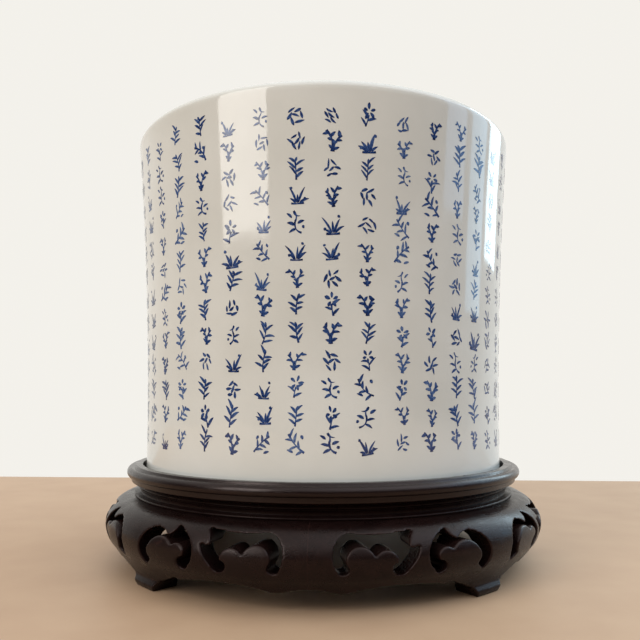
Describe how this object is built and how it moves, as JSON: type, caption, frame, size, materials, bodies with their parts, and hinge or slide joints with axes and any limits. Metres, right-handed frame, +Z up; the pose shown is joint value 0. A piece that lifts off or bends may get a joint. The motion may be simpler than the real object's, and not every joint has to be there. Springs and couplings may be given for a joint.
{
  "type": "brush holder pot on a wooden stand",
  "caption": "Porcelain brush pot with rows of blue brush-stroke marks, lifting off a round pierced hardwood stand.",
  "frame": {"origin": "centre of the stand's footprint, on the floor that its feet rest on", "axes": "+Z up along the pot's axis; the stand's plain front panel faces -Y; +X is to the right of someone facing it"},
  "size_m": [0.205, 0.205, 0.198],
  "materials": {
    "porcelain": "gloss",
    "polished_hardwood": "satin polish",
    "plain_hardwood": "planed, unpolished",
    "joinery_wood": "plain"
  },
  "bodies": {
    "stand": {"seat_frame_front": "polished_hardwood", "seat_frame_right": "polished_hardwood", "seat_frame_back": "polished_hardwood", "seat_frame_left": "polished_hardwood", "waist_front": "polished_hardwood", "waist_right": "polished_hardwood", "waist_back": "polished_hardwood", "waist_left": "polished_hardwood", "apron_foot_front_right": "polished_hardwood", "apron_foot_back_right": "polished_hardwood", "apron_foot_back_left": "polished_hardwood", "apron_foot_front_left": "polished_hardwood", "seat_panel": "plain_hardwood", "cross_batten": "plain_hardwood", "seat_frame_splines": "joinery_wood", "apron_splines": "joinery_wood", "waist_dowels": "joinery_wood"},
    "pot": {"brush_pot": "porcelain"}
  },
  "joints": [
    {"name": "pot_lift", "type": "slide", "parent": "stand", "child": "pot", "axis": [0, 0, 1], "range_m": [0, 0.16]}
  ]
}
